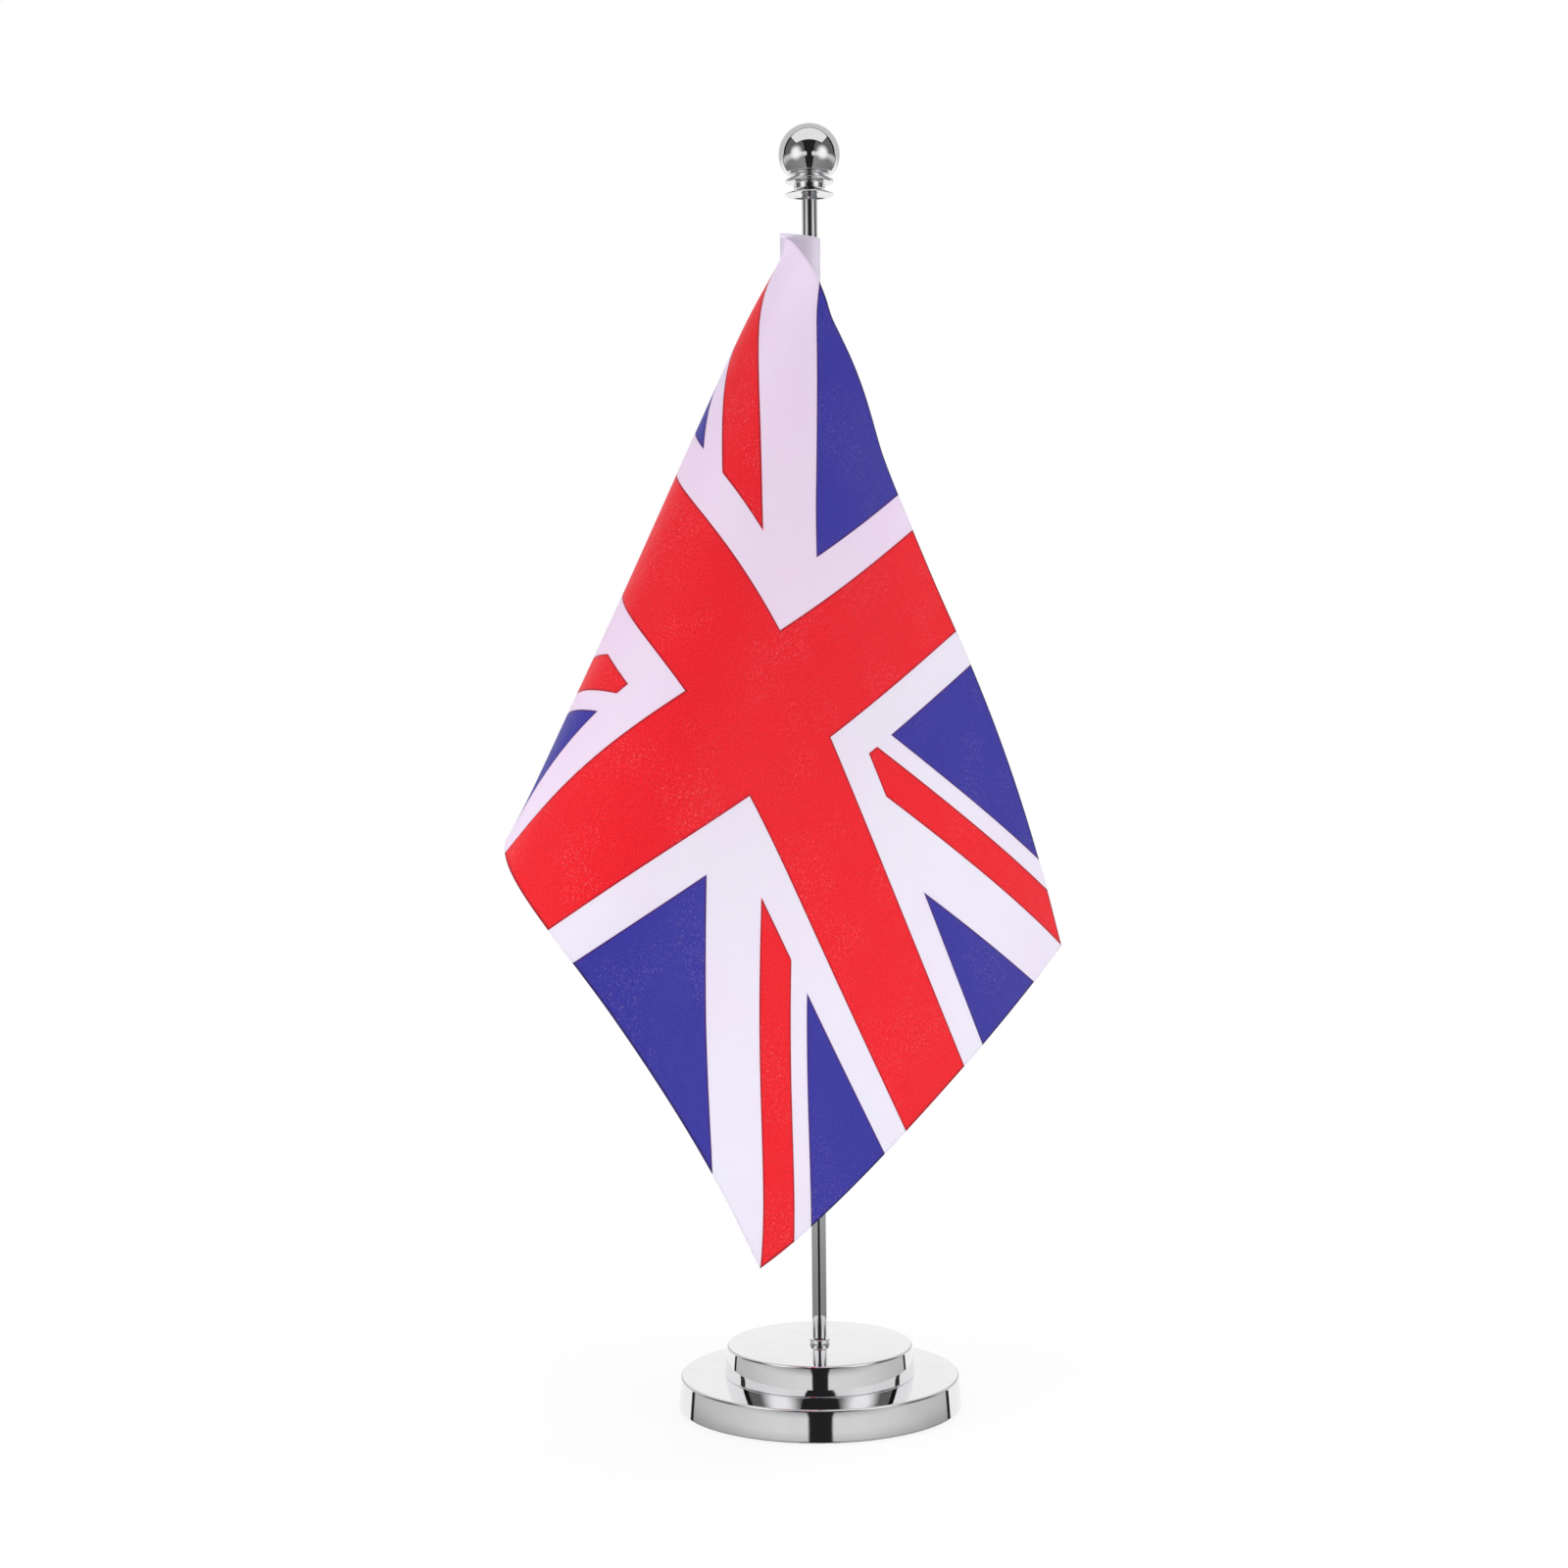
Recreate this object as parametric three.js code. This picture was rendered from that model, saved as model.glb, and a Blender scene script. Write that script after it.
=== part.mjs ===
// A table flag: a small satin flag on a thin chromed pole in a two-step round base.
// Millimetres, +Z up. The origin is on the pole's axis, at the underside of the base.
import * as THREE from "three";

// Base: two pressed covers over iron discs, clamped together by a hollow threaded bush.
const BASE_RADIUS = 35;
const LOWER_STEP_HEIGHT = 7.6;
const UPPER_STEP_RADIUS = 23.5;
const UPPER_STEP_HEIGHT = 7;
const COVER_WALL = 0.8;
const COVER_DRAFT = 0.08;
const RIM_ROUND = 0.5;
const PAD_THICKNESS = 2;
const PAD_STAND_PROUD = 0.4;
const BUSH_WALL = 0.5;
const BUSH_RIM_OVERLAP = 0.3;
const BUSH_RIM_HEIGHT = 0.9;
const NUT_ACROSS_FLATS = 7;
const NUT_THICKNESS = 2.2;
const WASHER_RADIUS = 4.5;
const WASHER_THICKNESS = 0.6;
const SPRING_WASHER_HALF_SLIT = 0.12;

// Pole: a thin tube with a threaded stud pressed into each end.
const POLE_LENGTH = 282;
const POLE_RADIUS = 1.9;
const POLE_WALL = 0.4;
const STUD_PLUG_LENGTH = 12;
const STUD_REACH = 7;

// Finial: a dished bell, a turned collar with two flanges, and a ball.
const BALL_RADIUS = 7.5;
const BALL_SEAT_DEPTH = 4.6;
const BELL_RADIUS = 6;
const BELL_DROP = 1.2;
const BELL_WALL = 0.5;
const LOWER_NECK_RADIUS = 3.8;
const LOWER_NECK_HEIGHT = 1;
const WIDE_FLANGE_RADIUS = 5.9;
const WIDE_FLANGE_HEIGHT = 1;
const UPPER_NECK_RADIUS = 4.15;
const UPPER_NECK_HEIGHT = 1;
const NARROW_FLANGE_RADIUS = 5.05;
const NARROW_FLANGE_HEIGHT = 0.6;

// Flag: one thickness of satin on a sleeve that a rubber ring on the pole holds up.
const FLAG_WIDTH = 210;
const FLAG_HEIGHT = 140;
const CLOTH_SOLID_THICKNESS = 0.9;
const SLEEVE_TOP_BELOW_FINIAL = 10.4;
const SLEEVE_WALL = 0.5;
const SLEEVE_SEAM_REACH = 7.3;
const SLEEVE_SEAM_HALF_THICKNESS = 0.8;
const SLEEVE_POCKET_HALF_END = 0.3;
const THREAD_RADIUS = 0.2;
const THREAD_FROM_SEAM_EDGE = 1.6;
const THREAD_END_MARGIN = 2;
const RING_WALL = 1.4;
const RING_HEIGHT = 3;

// Clearances.
const TOUCHING_GAP = 0.3;
const BORE_CLEARANCE = 0.3;
const RUNNING_GAP = 0.4;

// Levels, from the table up.
const coverBottom = PAD_STAND_PROUD;
const lowerStepTop = coverBottom + LOWER_STEP_HEIGHT;
const upperCoverBottom = lowerStepTop + TOUCHING_GAP;
const upperStepTop = upperCoverBottom + UPPER_STEP_HEIGHT;
const bushTop = upperStepTop + TOUCHING_GAP + BUSH_RIM_HEIGHT;
const poleFoot = bushTop + TOUCHING_GAP;
const poleTop = poleFoot + POLE_LENGTH;
const bellTop = poleTop;
const collarBottom = poleTop + TOUCHING_GAP;
const collarHeight =
  LOWER_NECK_HEIGHT + WIDE_FLANGE_HEIGHT + UPPER_NECK_HEIGHT + NARROW_FLANGE_HEIGHT;
const ballSeat = collarBottom + collarHeight + TOUCHING_GAP;
const ballCentre = ballSeat + BALL_SEAT_DEPTH;
const sleeveTop = bellTop - BELL_DROP - SLEEVE_TOP_BELOW_FINIAL;
const sleeveBottom = sleeveTop - FLAG_HEIGHT;

// Radii that follow from what passes through or fits inside.
const poleBore = POLE_RADIUS - POLE_WALL;
const studRadius = poleBore - BORE_CLEARANCE;
const bushBore = studRadius + BORE_CLEARANCE;
const bushRadius = bushBore + BUSH_WALL;
const bushHole = bushRadius + BORE_CLEARANCE;
const bushRimRadius = bushHole + BUSH_RIM_OVERLAP;
const slidingBore = POLE_RADIUS + BORE_CLEARANCE;
const padRadius = BASE_RADIUS - COVER_WALL - RUNNING_GAP - COVER_DRAFT * PAD_THICKNESS;
const clampTop = PAD_THICKNESS + TOUCHING_GAP;

const ROUND_SEGMENTS = 48;
const SMALL_SEGMENTS = 28;

function metal(color, roughness) {
  return new THREE.MeshStandardMaterial({ color, roughness, metalness: 1 });
}

function soft(color, roughness) {
  return new THREE.MeshStandardMaterial({ color, roughness, metalness: 0 });
}

const chrome = () => metal(0xd8d8da, 0.05);
const zinc = () => metal(0xa9abad, 0.35);
const iron = () => metal(0x55534f, 0.7);

const model = new THREE.Group();

function addPiece(name, geometry, material) {
  const mesh = new THREE.Mesh(geometry, material);
  mesh.name = name;
  model.add(mesh);
  return mesh;
}

// A solid of revolution about Z. The outline is [radius, height] points, up the outside.
function turned(outline, segments) {
  const points = outline.map(([radius, height]) => new THREE.Vector2(radius, height));
  if (outline[0][0] > 0) {
    points.push(points[0].clone());
  }
  const geometry = new THREE.LatheGeometry(points, segments);
  geometry.rotateX(Math.PI / 2);
  return geometry;
}

function ringOutline(innerRadius, outerRadius, bottom, top) {
  return [
    [innerRadius, bottom],
    [outerRadius, bottom],
    [outerRadius, top],
    [innerRadius, top],
  ];
}

function arcPoints(centreRadius, centreHeight, radius, fromAngle, toAngle, steps) {
  const points = [];
  for (let step = 0; step <= steps; step += 1) {
    const angle = fromAngle + ((toAngle - fromAngle) * step) / steps;
    points.push([
      centreRadius + radius * Math.cos(angle),
      centreHeight + radius * Math.sin(angle),
    ]);
  }
  return points;
}

// A pressed cup, open below, with a drafted wall, a rounded rim and a hole for the bush.
function pressedCover(bottomRadius, bottom, top) {
  const topRadius = bottomRadius - COVER_DRAFT * (top - bottom);
  const insideTop = top - COVER_WALL;
  const rim = arcPoints(topRadius - RIM_ROUND, top - RIM_ROUND, RIM_ROUND, 0, Math.PI / 2, 4);
  return turned(
    [
      [bottomRadius - COVER_WALL, bottom],
      [bottomRadius, bottom],
      ...rim,
      [bushHole, top],
      [bushHole, insideTop],
      [topRadius - COVER_WALL, insideTop],
    ],
    ROUND_SEGMENTS,
  );
}

function ballastRadius(coverRadius, coverBottomLevel, ballastTop) {
  return coverRadius - COVER_WALL - COVER_DRAFT * (ballastTop - coverBottomLevel) - TOUCHING_GAP;
}

function addCovers() {
  const lower = pressedCover(BASE_RADIUS, coverBottom, lowerStepTop);
  const upper = pressedCover(UPPER_STEP_RADIUS, upperCoverBottom, upperStepTop);
  addPiece("base_lower_cover", lower, chrome());
  addPiece("base_upper_cover", upper, chrome());
}

// The lower disc has a pocket under it for the washers and the nut.
function addBallast() {
  const lowerTop = lowerStepTop - COVER_WALL - TOUCHING_GAP;
  const lowerRadius = ballastRadius(BASE_RADIUS, coverBottom, lowerTop);
  const pocketRadius = WASHER_RADIUS + RUNNING_GAP;
  const lower = turned(
    [
      [pocketRadius, clampTop],
      [lowerRadius, clampTop],
      [lowerRadius, lowerTop],
      [bushHole, lowerTop],
      [bushHole, pocketTop()],
      [pocketRadius, pocketTop()],
    ],
    ROUND_SEGMENTS,
  );
  const upperTop = upperStepTop - COVER_WALL - TOUCHING_GAP;
  const upperRadius = ballastRadius(UPPER_STEP_RADIUS, upperCoverBottom, upperTop);
  const upper = turned(
    ringOutline(bushHole, upperRadius, upperCoverBottom, upperTop),
    ROUND_SEGMENTS,
  );
  addPiece("lower_ballast", lower, iron());
  addPiece("upper_ballast", upper, iron());
}

function pocketTop() {
  return clampTop + NUT_THICKNESS + 2 * WASHER_THICKNESS + 3 * TOUCHING_GAP;
}

function addPad() {
  const pad = turned(
    [
      [0, 0],
      [padRadius, 0],
      [padRadius, PAD_THICKNESS],
      [0, PAD_THICKNESS],
    ],
    ROUND_SEGMENTS,
  );
  addPiece("non_slip_pad", pad, soft(0x1d1d1f, 0.95));
}

// The bush is a hollow bolt: the rim at its top shows round the pole's foot.
function addBush() {
  const rimBottom = upperStepTop + TOUCHING_GAP;
  const bush = turned(
    [
      [bushBore, clampTop],
      [bushRadius, clampTop],
      [bushRadius, rimBottom],
      [bushRimRadius, rimBottom],
      [bushRimRadius, bushTop - RIM_ROUND],
      [bushRimRadius - RIM_ROUND, bushTop],
      [bushBore, bushTop],
    ],
    SMALL_SEGMENTS,
  );
  addPiece("threaded_bush", bush, chrome());
}

function flatRing(outerShape, holeRadius, bottom, thickness) {
  const hole = new THREE.Path();
  hole.absarc(0, 0, holeRadius, 0, Math.PI * 2, true);
  outerShape.holes.push(hole);
  const geometry = new THREE.ExtrudeGeometry(outerShape, {
    depth: thickness,
    bevelEnabled: false,
    curveSegments: SMALL_SEGMENTS,
  });
  geometry.translate(0, 0, bottom);
  return geometry;
}

function addClampNut() {
  const cornerRadius = NUT_ACROSS_FLATS / Math.sqrt(3);
  const hexagon = new THREE.Shape();
  for (let corner = 0; corner < 6; corner += 1) {
    const angle = (corner * Math.PI) / 3;
    const x = cornerRadius * Math.cos(angle);
    const y = cornerRadius * Math.sin(angle);
    if (corner === 0) {
      hexagon.moveTo(x, y);
    } else {
      hexagon.lineTo(x, y);
    }
  }
  hexagon.closePath();
  addPiece("clamp_nut", flatRing(hexagon, bushHole, clampTop, NUT_THICKNESS), zinc());
}

// The spring washer is a ring with a slit, so it is one C-shaped outline.
function addWashers() {
  const springBottom = clampTop + NUT_THICKNESS + TOUCHING_GAP;
  const slit = SPRING_WASHER_HALF_SLIT;
  const outer = NUT_ACROSS_FLATS / 2;
  const shape = new THREE.Shape();
  shape.absarc(0, 0, outer, slit, Math.PI * 2 - slit, false);
  shape.absarc(0, 0, bushHole, Math.PI * 2 - slit, slit, true);
  shape.closePath();
  const spring = new THREE.ExtrudeGeometry(shape, {
    depth: WASHER_THICKNESS,
    bevelEnabled: false,
    curveSegments: SMALL_SEGMENTS,
  });
  spring.translate(0, 0, springBottom);
  addPiece("spring_washer", spring, zinc());
  const flatBottom = springBottom + WASHER_THICKNESS + TOUCHING_GAP;
  const flat = turned(
    ringOutline(bushHole, WASHER_RADIUS, flatBottom, flatBottom + WASHER_THICKNESS),
    SMALL_SEGMENTS,
  );
  addPiece("flat_washer", flat, zinc());
}

function rod(radius, bottom, top) {
  const outline = [
    [0, bottom],
    [radius, bottom],
    [radius, top],
    [0, top],
  ];
  return turned(outline, SMALL_SEGMENTS);
}

function addPole() {
  const tube = turned(ringOutline(poleBore, POLE_RADIUS, poleFoot, poleTop), SMALL_SEGMENTS);
  addPiece("pole", tube, chrome());
  const lower = rod(studRadius, poleFoot - STUD_REACH, poleFoot + STUD_PLUG_LENGTH);
  const upper = rod(studRadius, poleTop - STUD_PLUG_LENGTH, poleTop + STUD_REACH);
  addPiece("lower_stud", lower, zinc());
  addPiece("upper_stud", upper, zinc());
}

// The bell is a dished washer: the pole runs up through it to the collar.
function addBell() {
  const bellBottom = bellTop - BELL_DROP;
  const bell = turned(
    [
      [slidingBore, bellTop - BELL_WALL],
      [LOWER_NECK_RADIUS, bellTop - BELL_WALL],
      [BELL_RADIUS - BELL_WALL, bellBottom],
      [BELL_RADIUS, bellBottom],
      [BELL_RADIUS, bellBottom + BELL_WALL / 2],
      [LOWER_NECK_RADIUS, bellTop],
      [slidingBore, bellTop],
    ],
    SMALL_SEGMENTS,
  );
  addPiece("finial_bell", bell, chrome());
}

function flangeEdge(radius, bottom, height) {
  const round = height / 2;
  return arcPoints(radius - round, bottom + round, round, -Math.PI / 2, Math.PI / 2, 4);
}

function addCollar() {
  const wideBottom = collarBottom + LOWER_NECK_HEIGHT;
  const wideTop = wideBottom + WIDE_FLANGE_HEIGHT;
  const narrowBottom = wideTop + UPPER_NECK_HEIGHT;
  const collar = turned(
    [
      [poleBore, collarBottom],
      [LOWER_NECK_RADIUS, collarBottom],
      [LOWER_NECK_RADIUS, wideBottom],
      ...flangeEdge(WIDE_FLANGE_RADIUS, wideBottom, WIDE_FLANGE_HEIGHT),
      [UPPER_NECK_RADIUS, wideTop],
      [UPPER_NECK_RADIUS, narrowBottom],
      ...flangeEdge(NARROW_FLANGE_RADIUS, narrowBottom, NARROW_FLANGE_HEIGHT),
      [poleBore, narrowBottom + NARROW_FLANGE_HEIGHT],
    ],
    SMALL_SEGMENTS,
  );
  addPiece("finial_collar", collar, chrome());
}

// The ball is flat where it sits on the collar, with a blind hole for the stud.
function addBall() {
  const seatAngle = -Math.asin(BALL_SEAT_DEPTH / BALL_RADIUS);
  const sphere = arcPoints(0, ballCentre, BALL_RADIUS, seatAngle, Math.PI / 2, 16);
  sphere[sphere.length - 1] = [0, ballCentre + BALL_RADIUS];
  const holeTop = poleTop + STUD_REACH + TOUCHING_GAP;
  const ball = turned(
    [[0, holeTop], [poleBore, holeTop], [poleBore, ballSeat], ...sphere],
    ROUND_SEGMENTS,
  );
  addPiece("finial_ball", ball, chrome());
}

// The sleeve is a flattened loop of cloth: round over the pole, closed at the seam.
function teardrop(path, roundRadius, seamX, seamHalf, clockwise) {
  const end = Math.PI * 0.6;
  if (clockwise) {
    path.moveTo(seamX, seamHalf);
    path.absarc(0, 0, roundRadius, end, -end, true);
    path.lineTo(seamX, -seamHalf);
  } else {
    path.moveTo(seamX, -seamHalf);
    path.absarc(0, 0, roundRadius, -end, end, false);
    path.lineTo(seamX, seamHalf);
  }
  path.closePath();
  return path;
}

function addSleeve() {
  const outline = teardrop(
    new THREE.Shape(),
    slidingBore + SLEEVE_WALL,
    -SLEEVE_SEAM_REACH,
    SLEEVE_SEAM_HALF_THICKNESS,
    false,
  );
  const pocketEnd = -SLEEVE_SEAM_REACH + THREAD_FROM_SEAM_EDGE + 2 * SLEEVE_WALL;
  outline.holes.push(teardrop(new THREE.Path(), slidingBore, pocketEnd, SLEEVE_POCKET_HALF_END, true));
  const sleeve = new THREE.ExtrudeGeometry(outline, {
    depth: FLAG_HEIGHT,
    bevelEnabled: false,
    curveSegments: 14,
  });
  sleeve.translate(0, 0, sleeveBottom);
  addPiece("flag_sleeve", sleeve, soft(0xf0ecf4, 0.8));
}

// Half the sleeve's thickness at a distance along its taper from the pole to the seam.
function sleeveHalfThickness(x) {
  const bulge = slidingBore + SLEEVE_WALL;
  const share = Math.min(1, -x / SLEEVE_SEAM_REACH);
  return bulge + (SLEEVE_SEAM_HALF_THICKNESS - bulge) * share;
}

function addStitching() {
  const x = -SLEEVE_SEAM_REACH + THREAD_FROM_SEAM_EDGE;
  const y = -(sleeveHalfThickness(x) + TOUCHING_GAP + THREAD_RADIUS);
  const length = FLAG_HEIGHT - 2 * THREAD_END_MARGIN;
  const thread = new THREE.CylinderGeometry(THREAD_RADIUS, THREAD_RADIUS, length, 8);
  thread.rotateX(Math.PI / 2);
  thread.translate(x, y, sleeveBottom + FLAG_HEIGHT / 2);
  addPiece("sleeve_stitching", thread, soft(0xffffff, 0.7));
}

function addStopRing() {
  const top = sleeveBottom - TOUCHING_GAP;
  const round = RING_WALL / 2;
  const middle = slidingBore + RING_WALL - round;
  const outline = [
    [slidingBore, top - RING_HEIGHT],
    ...arcPoints(middle, top - RING_HEIGHT + round, round, -Math.PI / 2, 0, 3),
    ...arcPoints(middle, top - round, round, 0, Math.PI / 2, 3),
    [slidingBore, top],
  ];
  addPiece("flag_stop_ring", turned(outline, SMALL_SEGMENTS), soft(0x2a2a2c, 0.6));
}

// How the cloth hangs, as three lines from hoist to fly: its bottom edge, its middle and its
// top edge. Each line bends through a few places and then falls straight. Places are offsets
// from the hoist, right, back and up, in shares of the flag's width and a sixth of it apart;
// the fall is the offset over one such sixth.
const HANGING_LINES = [
  {
    bend: [
      [-0.16, -0.05, 0],
      [-0.29, -0.15, 0],
      [-0.28, -0.3, -0.06],
      [-0.19, -0.33, -0.19],
    ],
    fall: [0.08, 0.02, -0.14],
  },
  {
    bend: [
      [-0.14, -0.08, 0],
      [-0.11, -0.2, -0.08],
      [-0.02, -0.2, -0.22],
    ],
    fall: [0.063, 0.043, -0.147],
  },
  { bend: [[0.06, -0.08, -0.1]], fall: [0.056, 0.052, -0.148] },
];
const PLACES_PER_LINE = 6;
const CLOTH_STEPS_ACROSS = 30;
const CLOTH_STEPS_UP = 12;

function hangingLines() {
  const hoistX = -(SLEEVE_SEAM_REACH + TOUCHING_GAP + CLOTH_SOLID_THICKNESS / 2);
  return HANGING_LINES.map(({ bend, fall }, index) => {
    const hoistZ = sleeveBottom + (FLAG_HEIGHT * index) / (HANGING_LINES.length - 1);
    const hoist = new THREE.Vector3(hoistX, 0, hoistZ);
    const step = new THREE.Vector3(...fall);
    const offsets = [new THREE.Vector3(), ...bend.map((place) => new THREE.Vector3(...place))];
    while (offsets.length <= PLACES_PER_LINE) {
      offsets.push(offsets.at(-1).clone().add(step));
    }
    const points = offsets.map((offset) => offset.multiplyScalar(FLAG_WIDTH).add(hoist));
    return new THREE.CatmullRomCurve3(points);
  });
}

function clothPoint(lines, across, up) {
  const [low, middle, high] = lines.map((line) => line.getPoint(across));
  const lowShare = 2 * (up - 0.5) * (up - 1);
  const middleShare = 4 * up * (1 - up);
  const highShare = 2 * up * (up - 0.5);
  return low
    .multiplyScalar(lowShare)
    .addScaledVector(middle, middleShare)
    .addScaledVector(high, highShare);
}

function clothNormal(lines, across, up) {
  const step = 0.004;
  const left = clothPoint(lines, Math.max(0, across - step), up);
  const right = clothPoint(lines, Math.min(1, across + step), up);
  const below = clothPoint(lines, across, Math.max(0, up - step));
  const above = clothPoint(lines, across, Math.min(1, up + step));
  return right.sub(left).cross(above.sub(below)).normalize();
}

// The flag's solid: the hanging sheet, thickened evenly to both sides.
function addFlagPanel() {
  const lines = hangingLines();
  const columns = CLOTH_STEPS_ACROSS + 1;
  const rows = CLOTH_STEPS_UP + 1;
  const positions = [];
  for (const side of [1, -1]) {
    for (let row = 0; row < rows; row += 1) {
      for (let column = 0; column < columns; column += 1) {
        const across = column / CLOTH_STEPS_ACROSS;
        const up = row / CLOTH_STEPS_UP;
        const point = clothPoint(lines, across, up);
        const normal = clothNormal(lines, across, up);
        point.addScaledVector(normal, (side * CLOTH_SOLID_THICKNESS) / 2);
        positions.push(point.x, point.y, point.z);
      }
    }
  }
  const indices = [];
  const layer = rows * columns;
  const quad = (a, b, c, d) => indices.push(a, b, c, a, c, d);
  for (let row = 0; row < CLOTH_STEPS_UP; row += 1) {
    for (let column = 0; column < CLOTH_STEPS_ACROSS; column += 1) {
      const a = row * columns + column;
      quad(a, a + 1, a + columns + 1, a + columns);
      quad(layer + a, layer + a + columns, layer + a + columns + 1, layer + a + 1);
    }
  }
  for (let column = 0; column < CLOTH_STEPS_ACROSS; column += 1) {
    const top = CLOTH_STEPS_UP * columns + column;
    quad(column, layer + column, layer + column + 1, column + 1);
    quad(top, top + 1, layer + top + 1, layer + top);
  }
  for (let row = 0; row < CLOTH_STEPS_UP; row += 1) {
    const hoist = row * columns;
    const fly = hoist + CLOTH_STEPS_ACROSS;
    quad(hoist, hoist + columns, layer + hoist + columns, layer + hoist);
    quad(fly, layer + fly, layer + fly + columns, fly + columns);
  }
  const geometry = new THREE.BufferGeometry();
  geometry.setAttribute("position", new THREE.Float32BufferAttribute(positions, 3));
  geometry.setIndex(indices);
  geometry.computeVertexNormals();
  addPiece("flag_panel", geometry, soft(0xc8283c, 0.6));
}

addCovers();
addBallast();
addPad();
addBush();
addClampNut();
addWashers();
addPole();
addBell();
addCollar();
addBall();
addSleeve();
addStitching();
addStopRing();
addFlagPanel();

export default model;
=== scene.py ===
"""Looks for the desk flag stand: a satin table flag on a chromed pole in a two-step base.

Lengths are in millimetres until a mesh is made; Blender's own unit is the metre.
"""

import math

import bmesh
import bpy
import numpy as np
from mathutils import Matrix, Vector


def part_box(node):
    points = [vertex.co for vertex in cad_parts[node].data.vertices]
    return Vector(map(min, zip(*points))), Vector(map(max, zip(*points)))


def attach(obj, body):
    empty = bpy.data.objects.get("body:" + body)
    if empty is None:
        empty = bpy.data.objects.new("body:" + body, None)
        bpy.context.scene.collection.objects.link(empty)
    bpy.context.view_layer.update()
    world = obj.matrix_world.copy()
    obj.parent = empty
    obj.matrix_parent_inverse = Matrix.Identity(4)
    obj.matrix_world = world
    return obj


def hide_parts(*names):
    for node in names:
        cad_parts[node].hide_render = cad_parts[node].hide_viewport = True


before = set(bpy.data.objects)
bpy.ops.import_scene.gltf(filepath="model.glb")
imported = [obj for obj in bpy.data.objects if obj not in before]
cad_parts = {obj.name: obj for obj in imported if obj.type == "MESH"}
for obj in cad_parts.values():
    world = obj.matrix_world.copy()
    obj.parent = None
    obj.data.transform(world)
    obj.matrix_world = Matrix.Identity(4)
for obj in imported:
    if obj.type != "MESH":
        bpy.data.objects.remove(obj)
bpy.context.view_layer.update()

MM = 0.001
TURN = 2 * math.pi


def node_box(name):
    """Lowest and highest corner of a CAD node, in millimetres."""
    low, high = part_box(name)
    return np.array(low) / MM, np.array(high) / MM


# ---------------------------------------------------------------- camera

CAMERA_PLACE = (-1.8, -623.5, 171.9)
CAMERA_YAW = math.radians(0.53)
CAMERA_TILT = math.radians(-1.66)
CAMERA_ROLL = math.radians(-0.53)
LENS_MM = 58.2
SENSOR_MM = 36


def make_camera():
    data = bpy.data.cameras.new("camera")
    data.lens = LENS_MM
    data.sensor_width = SENSOR_MM
    data.clip_start = 0.01
    data.clip_end = 50
    camera = bpy.data.objects.new("camera", data)
    bpy.context.scene.collection.objects.link(camera)
    turn = Matrix.Rotation(CAMERA_YAW, 4, "Z")
    tilt = Matrix.Rotation(math.pi / 2 + CAMERA_TILT, 4, "X")
    roll = Matrix.Rotation(CAMERA_ROLL, 4, "Z")
    camera.matrix_world = Matrix.Translation(Vector(CAMERA_PLACE) * MM) @ turn @ tilt @ roll
    bpy.context.scene.camera = camera


# ---------------------------------------------------------------- node helpers


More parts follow.
